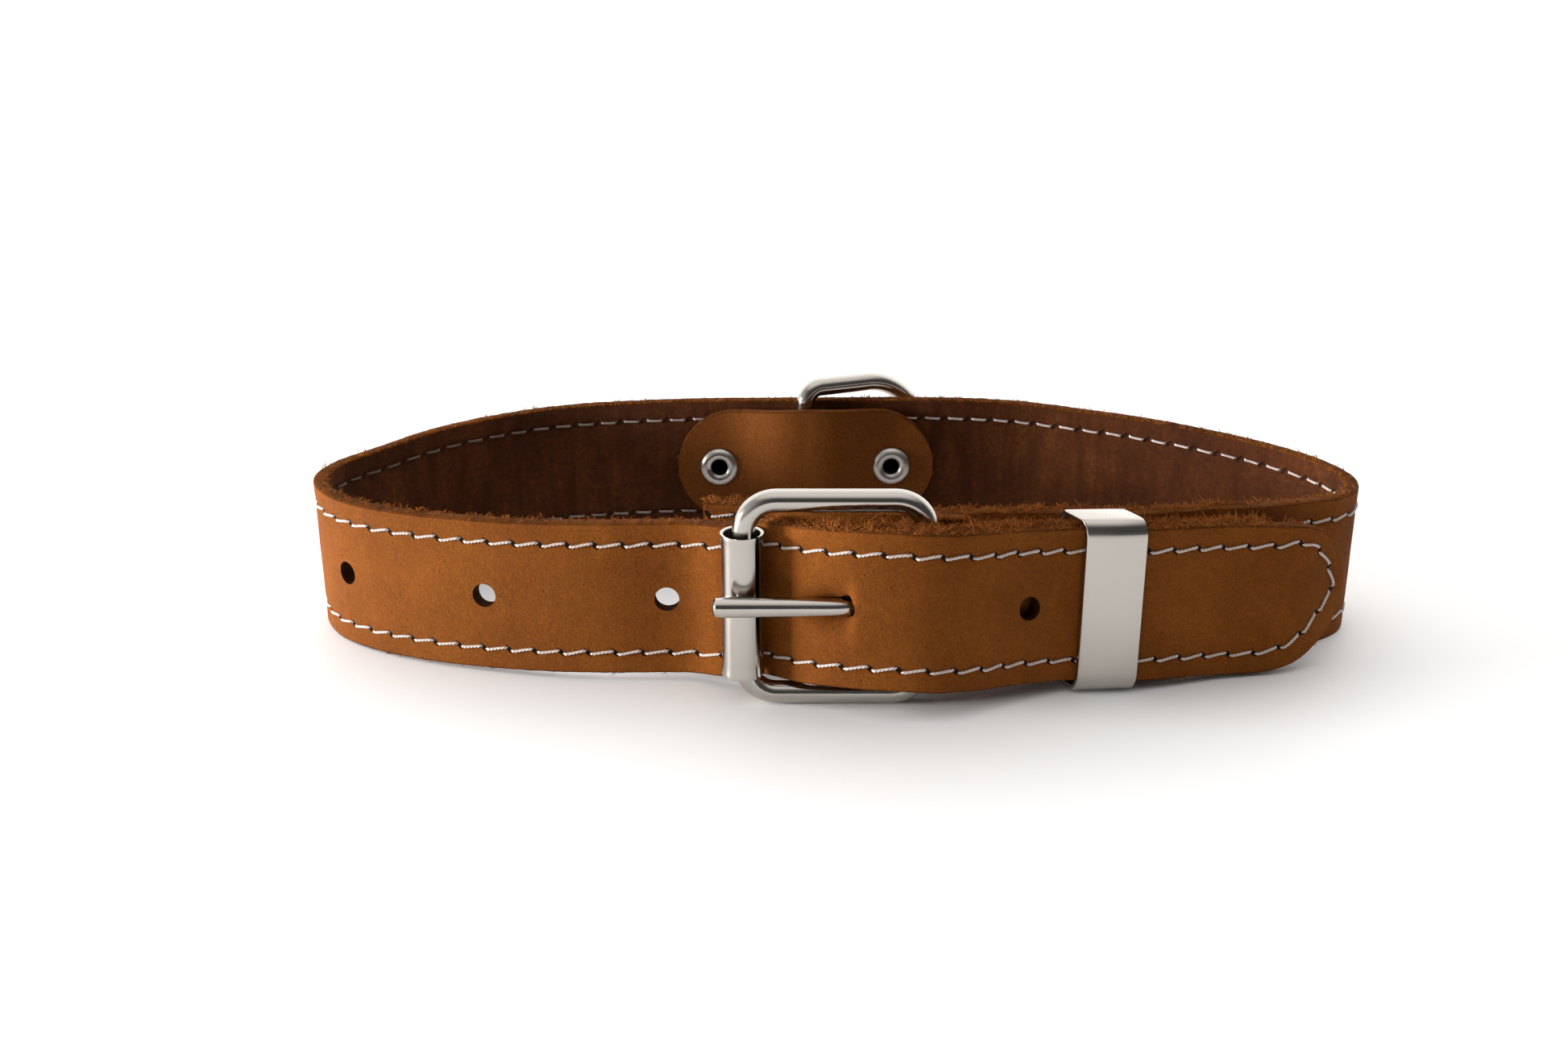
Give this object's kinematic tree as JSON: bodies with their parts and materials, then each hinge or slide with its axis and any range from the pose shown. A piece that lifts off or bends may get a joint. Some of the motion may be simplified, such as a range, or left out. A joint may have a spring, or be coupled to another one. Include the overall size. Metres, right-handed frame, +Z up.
{
  "type": "dog collar",
  "caption": "Buckled leather dog collar standing on its edge, with roller buckle, sheet keeper and a swinging D-ring held by a riveted patch.",
  "frame": {"origin": "centre of the bounding box's underside, on the surface that the collar stands on", "axes": "+X along the buckled front towards the strap's rounded tip, +Y from the buckle to the D-ring at the back, +Z up from the edge that it stands on"},
  "size_m": [0.175, 0.0816, 0.0344],
  "materials": {
    "strap_leather": "nubuck grain outside, raw suede flesh inside, white saddle stitching",
    "patch_leather": "smooth grain",
    "nickel_wire": "nickel plated, polished",
    "nickel_sheet": "nickel plated, polished"
  },
  "bodies": {
    "collar": {"strap": "strap_leather", "chape": "strap_leather", "ring_patch": "patch_leather", "buckle_frame": "nickel_wire", "roller": "nickel_sheet", "tongue": "nickel_wire", "keeper": "nickel_sheet", "rivet_left": "nickel_sheet", "rivet_right": "nickel_sheet"},
    "d_ring": {"d_ring": "nickel_wire"}
  },
  "joints": [
    {"name": "d_ring_swing", "type": "hinge", "parent": "collar", "child": "d_ring", "pos_m": [-0.00445, 0.02997, 0.0171], "axis": [0, 0, 1], "range_deg": [0, 134]}
  ]
}
